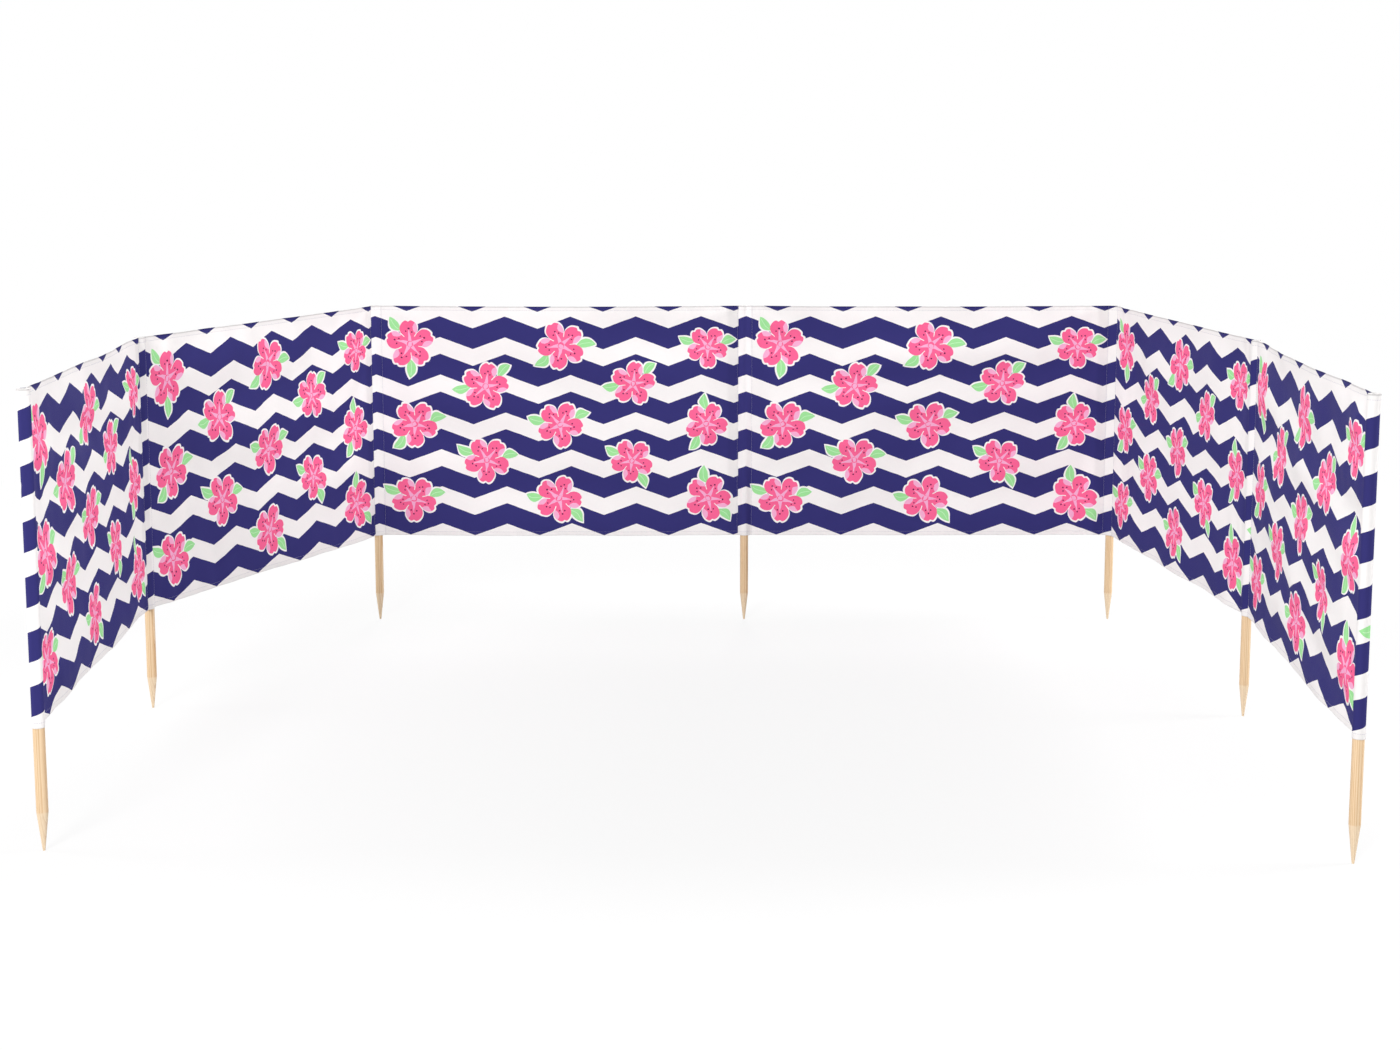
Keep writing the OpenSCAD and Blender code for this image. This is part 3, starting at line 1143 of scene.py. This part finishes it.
def make_stitching():
    """Stitch lines of each bay and strip."""
    s = sizes()
    tree = stitch_tree()
    material = thread_material()
    lift = s.cloth_thickness / 2
    for b in range(1, BAY_COUNT + 1):
        grid, normal, _, seams, hem_stitch_rows = bay_surface(b)
        face = grid + normal * lift
        lines = [(face[row], normal[row]) for row in hem_stitch_rows]
        upright = slice(ABOVE_FOLD, -ABOVE_FOLD)
        lines += [(face[upright, column], normal[upright, column]) for column in seams]
        stitching = sew(f"bay_{b}_stitching", lines, tree, material)
        path_lengths(bay_path(b)[0])[-1]
    for k in FEET_WITH_TWO_BAYS:
        grid, normal, _ = strip_surface(k)
        reverse = grid - normal * lift
        face = grid + normal * lift
        upright = slice(ABOVE_HEM, -ABOVE_HEM)
        next_to_edges = (1, -2)  # the seams' middle columns and the turned hems' stitch rows
        lines = [(reverse[upright, column], -normal[upright, column]) for column in next_to_edges]
        lines += [(face[row], normal[row]) for row in next_to_edges]
        stitching = sew(f"sleeve_{k}_stitching", lines, tree, material)
        path_lengths(layer_path(k, 1))[-1]


# Stage

FLOOR_REACH = 40.0
FLOOR_MIDDLE_Y = -1.2  # middle of the floor that keeps the shadow
SHADOW_FROM, SHADOW_TO = 2.6, 5.5  # metres from there over which the floor turns plain white
FLOOR_MATT, FLOOR_GLOW = 0.17, 0.81  # together near white to the camera
FLOOR_BOUNCE = 0.48
AMBIENT = 0.46
SOFTBOX_SIZE = 4.0
SOFTBOX_AIM = (0.0, -0.8, 0.6)
SOFTBOXES = (  # name, place and watts
    ("Front softbox", (-4.0, -13.0, 5.2), 1150.0),
    ("Right softbox", (10.5, -1.0, 4.8), 860.0),
    ("Left softbox", (-10.8, -1.0, 4.8), 410.0),
    ("Back softbox", (0.0, 11.0, 5.2), 650.0),
)
CAMERA_PLACE = (-0.154, -7.283, CLOTH_BOTTOM + 1.367)
CAMERA_TILT = math.radians(81.9)
CAMERA_LENS, CAMERA_SENSOR = 54.56, 36.0  # millimetres
CAMERA_SHIFT_Y = -0.06
CAMERA_FAR_END = 200.0
WHITE = (1.0, 1.0, 1.0)


def grey(level):
    return (level, level, level)


def add_softbox(name, place, power):
    light = bpy.data.lights.new(name, "AREA")
    light.shape = "DISK"
    light.size = SOFTBOX_SIZE
    light.energy = power
    lamp = bpy.data.objects.new(name, light)
    lamp.location = place
    lamp.rotation_euler = (Vector(SOFTBOX_AIM) - Vector(place)).to_track_quat("-Z", "Y").to_euler()
    bpy.context.scene.collection.objects.link(lamp)


def mix_shaders(tree, share, first, second):
    mix = tree.nodes.new("ShaderNodeMixShader")
    for slot, value in zip(mix.inputs, (share, first.outputs[0], second.outputs[0])):
        plug(tree, slot, value)
    return mix


def seen_directly(tree):
    """One for rays from the camera, and those reflected or passed through on their way."""
    path = tree.nodes.new("ShaderNodeLightPath")
    camera, glossy, through = (
        Wire(tree, path.outputs[name]) for name in ("Is Camera Ray", "Is Glossy Ray", "Is Transmission Ray")
    )
    return camera.either(glossy).either(through)


def floor_material():
    """Near-white floor that shows the camera an even white, less the object's soft shadow."""
    material = bpy.data.materials.new("Studio floor")
    material.use_nodes = True
    tree = material.node_tree
    tree.nodes.clear()
    x, y, _ = parts(tree, put(tree, "ShaderNodeTexCoord").outputs["Object"])
    from_middle = y - FLOOR_MIDDLE_Y
    away = (x * x + from_middle * from_middle).math("SQRT")
    far = smooth_ramp(tree, away, SHADOW_FROM, SHADOW_TO)
    matt = put(tree, "ShaderNodeBsdfDiffuse", Color=grey(FLOOR_MATT))
    glow = put(tree, "ShaderNodeEmission", Color=WHITE, Strength=FLOOR_GLOW)
    near = put(tree, "ShaderNodeAddShader")
    tree.links.new(matt.outputs[0], near.inputs[0])
    tree.links.new(glow.outputs[0], near.inputs[1])
    white = put(tree, "ShaderNodeEmission", Color=WHITE, Strength=1.0)
    bounce = put(tree, "ShaderNodeBsdfDiffuse", Color=grey(FLOOR_BOUNCE))
    seen = mix_shaders(tree, far, near, white)
    both = mix_shaders(tree, seen_directly(tree), bounce, seen)
    end = put(tree, "ShaderNodeOutputMaterial")
    tree.links.new(both.outputs[0], end.inputs["Surface"])
    return material


def add_floor():
    mesh = bpy.data.meshes.new("studio_floor")
    signs = ((-1, -1), (1, -1), (1, 1), (-1, 1))
    mesh.from_pydata([(x * FLOOR_REACH, y * FLOOR_REACH, 0.0) for x, y in signs], [], [(0, 1, 2, 3)])
    mesh.materials.append(floor_material())
    new_piece("studio_floor", mesh)


def add_ambient_light():
    world = bpy.data.worlds.new("Studio")
    world.use_nodes = True
    bpy.context.scene.world = world
    tree = world.node_tree
    tree.nodes.clear()
    ambient = put(tree, "ShaderNodeBackground", Color=WHITE, Strength=AMBIENT)
    backdrop = put(tree, "ShaderNodeBackground", Color=WHITE, Strength=1.0)
    mix = mix_shaders(tree, seen_directly(tree), ambient, backdrop)
    end = put(tree, "ShaderNodeOutputWorld")
    tree.links.new(mix.outputs[0], end.inputs["Surface"])


def add_camera():
    camera = bpy.data.cameras.new("Photo camera")
    camera.sensor_fit = "HORIZONTAL"
    camera.sensor_width = CAMERA_SENSOR
    camera.lens = CAMERA_LENS
    camera.shift_y = CAMERA_SHIFT_Y
    camera.clip_end = CAMERA_FAR_END
    view = bpy.data.objects.new("Photo camera", camera)
    view.location = CAMERA_PLACE
    view.rotation_euler = (CAMERA_TILT, 0.0, 0.0)
    bpy.context.scene.collection.objects.link(view)
    bpy.context.scene.camera = view


def make_stage():
    """Floor, light and camera."""
    bpy.context.scene.view_settings.view_transform = "Standard"
    add_floor()
    add_ambient_light()
    for softbox in SOFTBOXES:
        add_softbox(*softbox)
    add_camera()


# Add-on

class WindbreakPoles(bpy.types.Operator):
    """Turn the seven pointed pine poles"""

    bl_idname = "windbreak.poles"
    bl_label = "Pine Poles"
    bl_options = {"REGISTER", "UNDO"}

    def execute(self, context):
        make_poles()
        return {"FINISHED"}


class WindbreakBays(bpy.types.Operator):
    """Stretch a bay of printed cloth between each two poles"""

    bl_idname = "windbreak.bays"
    bl_label = "Cloth Bays"
    bl_options = {"REGISTER", "UNDO"}

    def execute(self, context):
        make_bays()
        return {"FINISHED"}


class WindbreakSleeves(bpy.types.Operator):
    """Close the back and the top of each pole's sleeve"""

    bl_idname = "windbreak.sleeves"
    bl_label = "Pole Sleeves"
    bl_options = {"REGISTER", "UNDO"}

    def execute(self, context):
        make_sleeves()
        return {"FINISHED"}


class WindbreakStitching(bpy.types.Operator):
    """Sew the hems and the sleeve seams"""

    bl_idname = "windbreak.stitching"
    bl_label = "Stitching"
    bl_options = {"REGISTER", "UNDO"}

    def execute(self, context):
        make_stitching()
        return {"FINISHED"}


class WindbreakStage(bpy.types.Operator):
    """Set up the pale floor, the soft light and the camera"""

    bl_idname = "windbreak.stage"
    bl_label = "Studio"
    bl_options = {"REGISTER", "UNDO"}

    def execute(self, context):
        make_stage()
        return {"FINISHED"}


OPERATORS = (WindbreakPoles, WindbreakBays, WindbreakSleeves, WindbreakStitching, WindbreakStage)


class WindbreakPanel(bpy.types.Panel):
    """Pieces of the windbreak with their sizes and colours"""

    bl_idname = "VIEW3D_PT_windbreak"
    bl_label = "Beach Windbreak"
    bl_space_type = "VIEW_3D"
    bl_region_type = "UI"
    bl_category = "Windbreak"

    def draw(self, context):
        for operator in OPERATORS:
            self.layout.operator(operator.bl_idname)
        for group in (context.scene.windbreak_sizes, context.scene.windbreak_colours):
            box = self.layout.box()
            for name in group.__annotations__:
                box.prop(group, name)


CLASSES = (WindbreakSizes, WindbreakColours, *OPERATORS, WindbreakPanel)


def register():
    for cls in CLASSES:
        bpy.utils.register_class(cls)
    bpy.types.Scene.windbreak_sizes = bpy.props.PointerProperty(type=WindbreakSizes)
    bpy.types.Scene.windbreak_colours = bpy.props.PointerProperty(type=WindbreakColours)


def unregister():
    del bpy.types.Scene.windbreak_colours
    del bpy.types.Scene.windbreak_sizes
    for cls in reversed(CLASSES):
        bpy.utils.unregister_class(cls)


def main():
    register()
    bpy.ops.windbreak.poles()
    bpy.ops.windbreak.bays()
    bpy.ops.windbreak.sleeves()
    bpy.ops.windbreak.stitching()
    bpy.ops.windbreak.stage()


if __name__ == "__main__":
    main()
